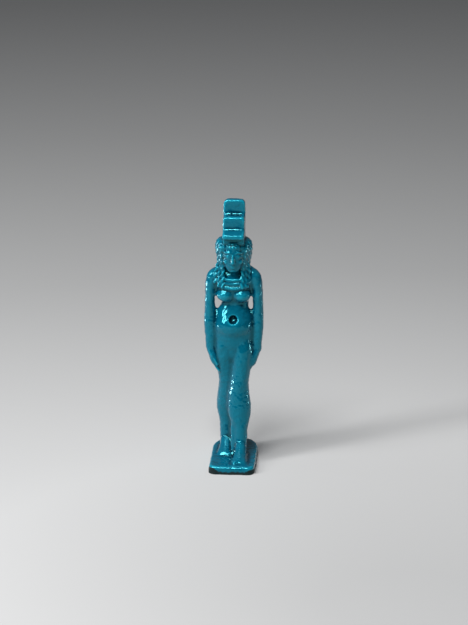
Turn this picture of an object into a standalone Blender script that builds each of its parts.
"""Isis amulet in turquoise-glazed faience: a striding goddess on a small plinth, a throne sign on her head.

Metres, +Z up, the figure faces -Y. The origin is the centre of the plinth's underside.
The whole amulet was moulded and fired as one piece, so it is one solid.
"""

import math

import bmesh
import bpy

MM = 0.001

# Sizes that can be set by themselves, in millimetres
FIGURE_HEIGHT = 38.2
STRIDE = 4.55
FOOT_LENGTH = 6.4
FIGURE_OFFSET_X = -0.12

PLINTH_HEIGHT = 1.4
PLINTH_SIDE_MARGIN = 1.35
PLINTH_FRONT_MARGIN = 0.85
PLINTH_BACK_MARGIN = 1.85
PLINTH_REAR_WIDTH = 4.9
PLINTH_TAPER_LENGTH = 3.1
PLINTH_EDGE_RADIUS = 0.45
PLINTH_CORNER_RADIUS = 1.25

PILLAR_WIDTH = 2.4
WEB_WIDTH = 1.3
CORD_HOLE_DIAMETER = 1.2
CORD_HOLE_WALL = 0.55

THRONE_WIDTH = 3.7
THRONE_OFFSET_X = 0.09
THRONE_SET_BACK = 0.95
BACKREST_THICKNESS = 1.5
BACKREST_RISE = 2.6
SEAT_DEPTH = 1.9
SEAT_RISE = 2.1
FOOTREST_DEPTH = 1.25
FOOTREST_RISE = 0.65
FOOTREST_SLOPE = 0.85
THRONE_CLEARANCE = 0.45
THRONE_SINK = 0.7
THRONE_EDGE_RADIUS = 0.2
THRONE_TOP_RADIUS = 0.8

# The canon of Egyptian figures: a grid of nineteen squares from the sole to the crown
SQUARES_TO_CROWN = 19.0
SQUARE = FIGURE_HEIGHT / SQUARES_TO_CROWN

# Meshing: the overlapping forms are fused on a fine grid, softened as glaze does, then thinned
FUSE_GRID = 0.14
SOFTEN_TIMES = 3
FACES_KEPT = 9300
OVERLAP = 0.3

# Rings of a form: squares above the sole, then x, y from the body axis, half width and half depth in squares
TORSO = [
    (8.9, 0, 0.10, 1.10, 0.95),
    (9.5, 0, 0.10, 1.54, 1.14),
    (10.3, 0, 0.06, 1.68, 1.20),
    (11.2, 0, 0.00, 1.68, 1.14),
    (12.0, 0, -0.02, 1.58, 1.02),
    (12.7, 0, 0.02, 1.34, 0.86),
    (13.3, 0, 0.06, 1.12, 0.77),
    (13.9, 0, 0.04, 1.26, 0.87),
    (14.6, 0, 0.02, 1.58, 0.98),
    (15.2, 0, 0.05, 1.84, 0.96),
    (15.8, 0, 0.12, 1.94, 0.80),
    (16.2, 0, 0.20, 1.76, 0.66),
    (16.5, 0, 0.20, 1.36, 0.58),
    (16.8, 0, 0.14, 0.86, 0.56),
    (17.4, 0, 0.05, 0.62, 0.58),
]

# The same for one leg, with x outwards from the figure's centre line and y from the leg's own line
LEG = [
    (10.4, 0.78, 0.05, 0.74, 0.95),
    (9.4, 0.78, 0.02, 0.86, 1.06),
    (8.4, 0.74, 0.00, 0.86, 1.02),
    (7.3, 0.65, -0.02, 0.80, 0.90),
    (6.4, 0.56, -0.06, 0.75, 0.80),
    (5.7, 0.52, -0.02, 0.81, 0.78),
    (5.0, 0.51, 0.06, 0.92, 0.84),
    (4.2, 0.52, 0.13, 1.00, 0.88),
    (3.4, 0.56, 0.11, 0.92, 0.78),
    (2.5, 0.66, 0.02, 0.61, 0.62),
    (1.6, 0.70, -0.02, 0.53, 0.55),
    (0.9, 0.70, -0.04, 0.50, 0.55),
    (0.2, 0.70, -0.05, 0.46, 0.54),
]
HIP_SQUARES = 10.4
LEG_CURVE = 1.1
REAR_LEG_BACK = 0.70
HEEL_BEHIND_LEG = 0.52
WEB_TOP = 9.2
WEB_BEFORE_LEG = 0.2

ARM = [
    (16.2, 1.50, 0.12, 0.34, 0.38),
    (15.8, 1.74, 0.10, 0.48, 0.56),
    (15.2, 1.88, 0.08, 0.50, 0.60),
    (14.4, 1.99, 0.06, 0.44, 0.56),
    (13.4, 2.03, 0.04, 0.44, 0.51),
    (12.4, 2.05, 0.02, 0.46, 0.50),
    (11.5, 2.05, -0.03, 0.49, 0.50),
    (10.6, 2.02, -0.08, 0.46, 0.48),
    (9.8, 1.98, -0.12, 0.42, 0.44),
    (9.2, 1.95, -0.14, 0.40, 0.44),
    (8.6, 1.76, -0.16, 0.38, 0.56),
    (8.0, 1.58, -0.16, 0.36, 0.58),
    (7.5, 1.38, -0.16, 0.31, 0.52),
    (7.05, 1.18, -0.16, 0.23, 0.38),
]

# One foot: share of its length from the heel, half width and height of the instep in squares
FOOT = [
    (0.00, 0.26, 0.40),
    (0.06, 0.42, 0.85),
    (0.22, 0.49, 1.35),
    (0.40, 0.50, 1.12),
    (0.60, 0.54, 0.70),
    (0.78, 0.58, 0.50),
    (0.92, 0.58, 0.42),
    (1.00, 0.46, 0.26),
]

# The wig without its locks, and the hair that falls behind the shoulders
WIG = [
    (15.5, 0, 0.80, 1.08, 0.34),
    (16.2, 0, 0.60, 1.30, 0.54),
    (16.9, 0, 0.38, 1.37, 0.84),
    (17.5, 0, 0.18, 1.51, 1.10),
    (18.1, 0, 0.02, 1.56, 1.26),
    (18.6, 0, 0.02, 1.49, 1.24),
    (18.9, 0, 0.04, 1.26, 1.06),
    (19.05, 0, 0.06, 0.84, 0.74),
]
WIG_LOCKS = 26
WIG_LOCK_RELIEF = 0.05

HEAD = [
    (16.2, 0, -0.90, 0.28, 0.22),
    (16.35, 0, -0.74, 0.52, 0.50),
    (16.7, 0, -0.54, 0.78, 0.80),
    (17.2, 0, -0.40, 0.93, 1.00),
    (17.8, 0, -0.30, 0.99, 1.12),
    (18.3, 0, -0.24, 0.96, 1.10),
    (18.6, 0, -0.18, 0.86, 1.00),
    (18.8, 0, -0.10, 0.70, 0.84),
]

# Corkscrew locks over each shoulder: height, x and y at the temple, beside the neck and at the foot
FRONT_LOCKS = [
    [(18.2, 1.36, -0.42), (17.0, 1.24, -0.30), (16.1, 1.46, -0.32), (15.05, 1.56, -0.56)],
    [(18.3, 1.18, -0.66), (17.0, 1.08, -0.48), (16.1, 1.18, -0.46), (14.85, 1.24, -0.82)],
    [(18.35, 1.00, -0.88), (17.0, 0.92, -0.66), (16.1, 0.90, -0.58), (14.75, 0.92, -0.98)],
]
LOCK_RADIUS = 0.17
LOCK_TWIST_SQUARES = 0.32

# The fringe, a row of small curls that frames the forehead under the wig
FRINGE_CURLS = 11
FRINGE_HEIGHT = 18.52
FRINGE_RADIUS = 0.15
FRINGE_HALF_WIDTH = 1.02
FRINGE_HALF_DEPTH = 1.06
FRINGE_MIDDLE_Y = -0.24

# Rounded masses: height, x, y, then half width, half depth and half height, all in squares
MASSES_IN_PAIRS = {
    "breast": (14.04, 0.70, -0.50, 0.72, 0.74, 0.56),
    "buttock": (9.95, 0.72, 0.42, 0.84, 0.90, 1.05),
    "eye": (17.60, 0.36, -1.22, 0.20, 0.13, 0.10),
}
MASSES = {
    "belly": (11.30, 0.0, -0.10, 1.60, 1.30, 1.36),
    "nose": (17.26, 0.0, -1.38, 0.16, 0.26, 0.36),
    "lips": (16.78, 0.0, -1.20, 0.29, 0.15, 0.12),
    "chin": (16.42, 0.0, -1.06, 0.30, 0.22, 0.18),
    "brow": (17.86, 0.0, -1.22, 0.66, 0.20, 0.13),
}
NAVEL_SQUARES = 12.05
NAVEL_RADIUS = 0.31
NAVEL_DEPTH = 0.40

# The broad collar, in squares: three low bands over the upper chest
COLLAR_HALF_WIDTH = 1.30
COLLAR_TOP = 15.55
COLLAR_FOOT = 14.52
COLLAR_BANDS = 3
COLLAR_THICKNESS = 0.07
COLLAR_BAND_RELIEF = 0.05

SIDES = 32
STEPS_BETWEEN_RINGS = 4

# Places that follow from the sizes above, from the body axis
FRONT_TOE = REAR_LEG_BACK * SQUARE - STRIDE + HEEL_BEHIND_LEG * SQUARE - FOOT_LENGTH
BACK_OF_BODY = 1.0 * SQUARE
PILLAR_BACK = BACK_OF_BODY + CORD_HOLE_DIAMETER + 2 * CORD_HOLE_WALL
PILLAR_TOP = PLINTH_HEIGHT + 16.6 * SQUARE
CORD_HOLE_HEIGHT = PLINTH_HEIGHT + 15.0 * SQUARE
PLINTH_DEPTH = PILLAR_BACK + PLINTH_BACK_MARGIN - FRONT_TOE + PLINTH_FRONT_MARGIN
BODY_AXIS_Y = PLINTH_DEPTH / 2 - PILLAR_BACK - PLINTH_BACK_MARGIN
FOOT_OUTER_X = (LEG[-1][1] + max(row[1] for row in FOOT)) * SQUARE
PLINTH_WIDTH = 2 * (FOOT_OUTER_X + PLINTH_SIDE_MARGIN)


def clear_scene():
    for old in list(bpy.data.objects):
        bpy.data.objects.remove(old)


def curve_through(rows, steps=STEPS_BETWEEN_RINGS):
    """More rows between the given ones, on a Catmull-Rom curve through them."""
    smooth = []
    last = len(rows) - 1
    for i in range(last):
        before, here = rows[max(i - 1, 0)], rows[i]
        there, after = rows[i + 1], rows[min(i + 2, last)]
        for step in range(steps):
            t = step / steps
            smooth.append(
                tuple(
                    0.5 * (2 * b + (c - a) * t + (2 * a - 5 * b + 4 * c - d) * t**2 + (3 * b - a - 3 * c + d) * t**3)
                    for a, b, c, d in zip(before, here, there, after)
                )
            )
    smooth.append(rows[last])
    return smooth


def figure_point(height, x, y):
    """A point of the figure in metres, from squares above the sole and from the body axis."""
    return (
        (FIGURE_OFFSET_X + x * SQUARE) * MM,
        (BODY_AXIS_Y + y * SQUARE) * MM,
        (PLINTH_HEIGHT + height * SQUARE) * MM,
    )


def skin(mesh, rings):
    """Joins rings of points into one closed form."""
    loops = [[mesh.verts.new(point) for point in ring] for ring in rings]
    count = len(loops[0])
    for low, high in zip(loops, loops[1:]):
        for i in range(count):
            j = (i + 1) % count
            mesh.faces.new((low[i], low[j], high[j], high[i]))
    mesh.faces.new(list(reversed(loops[0])))
    mesh.faces.new(loops[-1])


def level_ring(row, sides=SIDES, locks=0, relief=0.0):
    """A level oval ring of the figure; locks ripple it outwards."""
    height, x, y, half_width, half_depth = row
    ring = []
    for i in range(sides):
        angle = 2 * math.pi * i / sides
        ripple = relief * abs(math.sin(locks * angle / 2)) if locks else 0.0
        ring.append(
            figure_point(
                height,
                x + (half_width + ripple) * math.cos(angle),
                y + (half_depth + ripple) * math.sin(angle),
            )
        )
    return ring


def add_upright(mesh, rows, side=1):
    """A form of level oval rings; side -1 mirrors it to the figure's right."""
    placed = [(h, side * x, y, a, b) for h, x, y, a, b in curve_through(rows)]
    skin(mesh, [level_ring(row) for row in sorted(placed)])


def add_mass(mesh, size, side=1):
    """A rounded mass of the body, such as a breast."""
    height, x, y, half_width, half_depth, half_height = size
    rings = []
    for i in range(1, 16):
        angle = math.pi * (i / 16 - 0.5)
        girth = math.cos(angle)
        rings.append((height + half_height * math.sin(angle), side * x, y, half_width * girth, half_depth * girth))
    skin(mesh, [level_ring(row) for row in rings])


def leg_line_y(height, forward):
    """Where the leg's own line lies, in squares from the body axis: the forward leg slants to the front."""
    share = max(0.0, 1 - height / HIP_SQUARES)
    rear = REAR_LEG_BACK * share
    return rear - (STRIDE / SQUARE) * share**LEG_CURVE if forward else rear


def add_leg(mesh, side, forward):
    rows = [(h, side * x, y + leg_line_y(h, forward), a, b) for h, x, y, a, b in curve_through(LEG)]
    skin(mesh, [level_ring(row) for row in sorted(rows)])


def add_foot(mesh, side, forward):
    """A bare foot from upright oval rings between the heel and the toes, sunk a little in the plinth."""
    ankle_x = LEG[-1][1]
    heel_y = leg_line_y(0.0, forward) + HEEL_BEHIND_LEG
    length = FOOT_LENGTH / SQUARE
    rings = []
    for share, half_width, height in curve_through(FOOT):
        middle = height / 2 - 0.1
        half_height = height / 2 + 0.1
        ring = []
        for i in range(SIDES):
            angle = 2 * math.pi * i / SIDES
            ring.append(
                figure_point(
                    middle + half_height * math.sin(angle),
                    side * ankle_x + half_width * math.cos(angle),
                    heel_y - share * length,
                )
            )
        rings.append(ring)
    skin(mesh, rings)


def add_wig(mesh):
    sides = WIG_LOCKS * 4
    rows = curve_through(WIG)
    skin(mesh, [level_ring(row, sides, WIG_LOCKS, WIG_LOCK_RELIEF) for row in rows])


def add_fringe(mesh):
    """Small curls in a row round the front of the wig."""
    for i in range(FRINGE_CURLS):
        angle = math.pi * (i + 0.5) / FRINGE_CURLS
        x = FRINGE_HALF_WIDTH * math.cos(angle)
        y = FRINGE_MIDDLE_Y - FRINGE_HALF_DEPTH * math.sin(angle)
        add_mass(mesh, (FRINGE_HEIGHT, x, y, FRINGE_RADIUS, FRINGE_RADIUS, FRINGE_RADIUS))


def add_front_lock(mesh, path, side):
    """One corkscrew lock, a chain of swellings from the temple down over the shoulder."""
    points = curve_through(path, 14)
    top, foot = points[0][0], points[-1][0]
    rings = []
    for height, x, y in points:
        share = (top - height) / (top - foot)
        turn = (top - height) / LOCK_TWIST_SQUARES
        radius = LOCK_RADIUS * (0.76 + 0.24 * abs(math.sin(math.pi * turn))) * (1.0 - 0.30 * share**4)
        rings.append(level_ring((height, side * x, y, radius, radius), 10))
    skin(mesh, list(reversed(rings)))


def chest_front(height, x):
    """How far forward the chest lies at a height and a distance from the centre line, in squares."""
    rows = curve_through(TORSO)
    low = max((row for row in rows if row[0] <= height), key=lambda row: row[0])
    high = min((row for row in rows if row[0] > height), key=lambda row: row[0])
    t = (height - low[0]) / (high[0] - low[0])
    _, _, y, half_width, half_depth = [a + (b - a) * t for a, b in zip(low, high)]
    return y - half_depth * math.sqrt(max(0.0, 1 - (x / half_width) ** 2))


def add_collar(mesh):
    """The broad collar, a plate of low bands that follows the chest from shoulder to shoulder."""
    columns, rows = 28, 18
    outer, inner = [], []
    for r in range(rows + 1):
        share = r / rows
        half_width = COLLAR_HALF_WIDTH * (0.8 + 0.2 * share)
        relief = COLLAR_THICKNESS + COLLAR_BAND_RELIEF * abs(math.sin(COLLAR_BANDS * math.pi * share))
        for c in range(columns + 1):
            x = half_width * (2 * c / columns - 1)
            lift = 0.22 * (x / COLLAR_HALF_WIDTH) ** 2
            height = COLLAR_TOP + (COLLAR_FOOT - COLLAR_TOP) * share + lift * share
            y = chest_front(height, x)
            outer.append(mesh.verts.new(figure_point(height, x, y - relief)))
            inner.append(mesh.verts.new(figure_point(height, x * 0.95, y + 0.4)))
    across = columns + 1
    for r in range(rows):
        for c in range(columns):
            a, b = r * across + c, r * across + c + 1
            d, e = a + across, b + across
            mesh.faces.new((outer[d], outer[e], outer[b], outer[a]))
            mesh.faces.new((inner[a], inner[b], inner[e], inner[d]))
    rim = list(range(across))
    rim += [r * across + columns for r in range(1, rows + 1)]
    rim += [rows * across + c for c in range(columns - 1, -1, -1)]
    rim += [r * across for r in range(rows - 1, 0, -1)]
    for i, j in zip(rim, rim[1:] + rim[:1]):
        mesh.faces.new((outer[i], outer[j], inner[j], inner[i]))


def add_block(mesh, low, high):
    """A plain block between two corners, in millimetres."""
    (x0, y0, z0), (x1, y1, z1) = low, high
    lower = [(x0, y0, z0), (x1, y0, z0), (x1, y1, z0), (x0, y1, z0)]
    upper = [(x, y, z1) for x, y, _ in lower]
    skin(mesh, [[(x * MM, y * MM, z * MM) for x, y, z in ring] for ring in (lower, upper)])


def add_pillar(mesh):
    """The back pillar, from the plinth to the hair, deep enough for the cord hole."""
    add_block(
        mesh,
        (FIGURE_OFFSET_X - PILLAR_WIDTH / 2, BODY_AXIS_Y + 0.5 * SQUARE, PLINTH_HEIGHT - OVERLAP),
        (FIGURE_OFFSET_X + PILLAR_WIDTH / 2, BODY_AXIS_Y + PILLAR_BACK, PILLAR_TOP),
    )


def add_web(mesh):
    """The wall of paste left between the legs, from the forward shin back to the pillar."""
    outline = [(WEB_TOP, PILLAR_BACK - OVERLAP), (-OVERLAP / SQUARE, PILLAR_BACK - OVERLAP)]
    for i in range(9):
        height = WEB_TOP * i / 8
        outline.append((height, (leg_line_y(height, True) - WEB_BEFORE_LEG) * SQUARE))
    rings = []
    for x in (FIGURE_OFFSET_X - WEB_WIDTH / 2, FIGURE_OFFSET_X + WEB_WIDTH / 2):
        rings.append([(x * MM, (BODY_AXIS_Y + y) * MM, (PLINTH_HEIGHT + h * SQUARE) * MM) for h, y in outline])
    skin(mesh, rings)


def bevelled(mesh, edges, radius, segments):
    bmesh.ops.bevel(
        mesh, geom=edges, offset=radius * MM, offset_type="OFFSET", segments=segments, profile=0.5, affect="EDGES"
    )


def add_plinth(mesh):
    """The plinth: a slab with rounded corners that narrows behind the back pillar."""
    slab = bmesh.new()
    half, rear_half = PLINTH_WIDTH / 2, PLINTH_REAR_WIDTH / 2
    front, back = -PLINTH_DEPTH / 2, PLINTH_DEPTH / 2
    shoulder = back - PLINTH_TAPER_LENGTH
    plan = [
        (-half, front),
        (half, front),
        (half, shoulder),
        (rear_half, back),
        (-rear_half, back),
        (-half, shoulder),
    ]
    lower = [(x * MM, y * MM, -OVERLAP * MM) for x, y in plan]
    upper = [(x * MM, y * MM, PLINTH_HEIGHT * MM) for x, y in plan]
    skin(slab, [lower, upper])
    upright = [e for e in slab.edges if abs(e.verts[0].co.z - e.verts[1].co.z) > OVERLAP * MM]
    bevelled(slab, upright, PLINTH_CORNER_RADIUS, 5)
    top = [e for e in slab.edges if min(v.co.z for v in e.verts) > (PLINTH_HEIGHT - 0.01) * MM]
    bevelled(slab, top, PLINTH_EDGE_RADIUS, 4)
    add_copy(mesh, slab)


def add_throne(mesh):
    """The throne sign, an extruded stepped profile: footrest, seat and backrest, on a stem in the wig."""
    block = bmesh.new()
    crown = PLINTH_HEIGHT + FIGURE_HEIGHT
    back = BODY_AXIS_Y + THRONE_SET_BACK
    rest_front = back - BACKREST_THICKNESS
    seat_front = rest_front - SEAT_DEPTH
    foot_front = seat_front - FOOTREST_DEPTH
    underside = crown + THRONE_CLEARANCE
    foot_outer = underside + FOOTREST_RISE
    foot_inner = foot_outer + FOOTREST_SLOPE
    seat = foot_inner + SEAT_RISE
    top = seat + BACKREST_RISE
    profile = [
        (back, crown - THRONE_SINK),
        (seat_front, crown - THRONE_SINK),
        (seat_front, underside),
        (foot_front, underside),
        (foot_front, foot_outer),
        (seat_front, foot_inner),
        (seat_front, seat),
        (rest_front, seat),
        (rest_front, top),
        (back, top),
    ]
    middle = FIGURE_OFFSET_X + THRONE_OFFSET_X
    half = THRONE_WIDTH / 2
    sides = [[((middle + s * half) * MM, y * MM, z * MM) for y, z in profile] for s in (-1, 1)]
    skin(block, sides)
    crest = [
        e
        for e in block.edges
        if min(v.co.z for v in e.verts) > (top - 0.01) * MM and abs(e.verts[0].co.x - e.verts[1].co.x) < 0.01 * MM
    ]
    bevelled(block, crest, THRONE_TOP_RADIUS, 5)
    sharp = [e for e in block.edges if len(e.link_faces) == 2 and e.calc_face_angle() > 0.6]
    bevelled(block, sharp, THRONE_EDGE_RADIUS, 2)
    add_copy(mesh, block)


def add_copy(mesh, part):
    """Adds a finished form to the mesh that holds them all."""
    bmesh.ops.recalc_face_normals(part, faces=part.faces)
    held = bpy.data.meshes.new("held")
    part.to_mesh(held)
    part.free()
    mesh.from_mesh(held)
    bpy.data.meshes.remove(held)


def figure_forms():
    """All the overlapping forms of the amulet in one mesh."""
    mesh = bmesh.new()
    add_upright(mesh, TORSO)
    add_upright(mesh, HEAD)
    for side in (-1, 1):
        forward = side == 1
        add_leg(mesh, side, forward)
        add_foot(mesh, side, forward)
        add_upright(mesh, ARM, side)
        for size in MASSES_IN_PAIRS.values():
            add_mass(mesh, size, side)
        for path in FRONT_LOCKS:
            add_front_lock(mesh, path, side)
    for size in MASSES.values():
        add_mass(mesh, size)
    add_wig(mesh)
    add_fringe(mesh)
    add_collar(mesh)
    add_pillar(mesh)
    add_web(mesh)
    add_plinth(mesh)
    add_throne(mesh)
    bmesh.ops.recalc_face_normals(mesh, faces=mesh.faces)
    return mesh


def glazed_faience():
    material = bpy.data.materials.new("turquoise_faience")
    material.use_nodes = True
    shader = material.node_tree.nodes["Principled BSDF"]
    shader.inputs["Base Color"].default_value = (0.0, 0.19, 0.26, 1.0)
    shader.inputs["Roughness"].default_value = 0.18
    shader.inputs["Metallic"].default_value = 0.0
    return material


def add_cutter(name, mesh):
    """A closed form that is only cut away from the amulet."""
    bmesh.ops.recalc_face_normals(mesh, faces=mesh.faces)
    data = bpy.data.meshes.new(name)
    mesh.to_mesh(data)
    mesh.free()
    cutter = bpy.data.objects.new(name, data)
    bpy.context.scene.collection.objects.link(cutter)
    cutter.hide_render = True
    cutter.display_type = "WIRE"
    return cutter


def table_cutter():
    """All that would lie below the table, so that the plinth's underside is truly flat."""
    mesh = bmesh.new()
    reach = PLINTH_DEPTH
    add_block(mesh, (-reach, -reach, -reach), (reach, reach, 0.0))
    return add_cutter("below_the_table", mesh)


def cord_hole_cutter():
    """The hole for a cord, drilled from side to side through the back pillar."""
    mesh = bmesh.new()
    radius = CORD_HOLE_DIAMETER / 2
    hole_y = BODY_AXIS_Y + PILLAR_BACK - CORD_HOLE_WALL - radius
    rings = []
    for x in (FIGURE_OFFSET_X - PILLAR_WIDTH, FIGURE_OFFSET_X + PILLAR_WIDTH):
        ring = []
        for i in range(20):
            angle = 2 * math.pi * i / 20
            y = hole_y + radius * math.cos(angle)
            ring.append((x * MM, y * MM, (CORD_HOLE_HEIGHT + radius * math.sin(angle)) * MM))
        rings.append(ring)
    skin(mesh, rings)
    return add_cutter("cord_hole", mesh)


def navel_cutter():
    """The deep round navel, sunk with a pointed tool."""
    mesh = bmesh.new()
    height, _, belly_y, _, half_depth, half_height = MASSES["belly"]
    rise = (NAVEL_SQUARES - height) / half_height
    skin_y = belly_y - half_depth * math.sqrt(1 - rise**2)
    add_mass(mesh, (NAVEL_SQUARES, 0.0, skin_y, NAVEL_RADIUS, NAVEL_DEPTH, NAVEL_RADIUS))
    return add_cutter("navel", mesh)


def build_amulet():
    data = bpy.data.meshes.new("isis_amulet")
    mesh = figure_forms()
    mesh.to_mesh(data)
    mesh.free()
    data.materials.append(glazed_faience())
    amulet = bpy.data.objects.new("isis_amulet", data)
    bpy.context.scene.collection.objects.link(amulet)

    fuse = amulet.modifiers.new("fuse", "REMESH")
    fuse.mode = "VOXEL"
    fuse.voxel_size = FUSE_GRID * MM
    soften = amulet.modifiers.new("soften", "SMOOTH")
    soften.factor = 0.5
    soften.iterations = SOFTEN_TIMES

    bpy.context.view_layer.update()
    fused = amulet.evaluated_get(bpy.context.evaluated_depsgraph_get()).to_mesh()
    faces = sum(len(face.vertices) - 2 for face in fused.polygons)
    thin = amulet.modifiers.new("thin", "DECIMATE")
    thin.ratio = min(1.0, FACES_KEPT / faces)

    for cutter in (table_cutter(), cord_hole_cutter(), navel_cutter()):
        cut = amulet.modifiers.new("cut_" + cutter.name, "BOOLEAN")
        cut.operation = "DIFFERENCE"
        cut.object = cutter
    return amulet


clear_scene()
build_amulet()
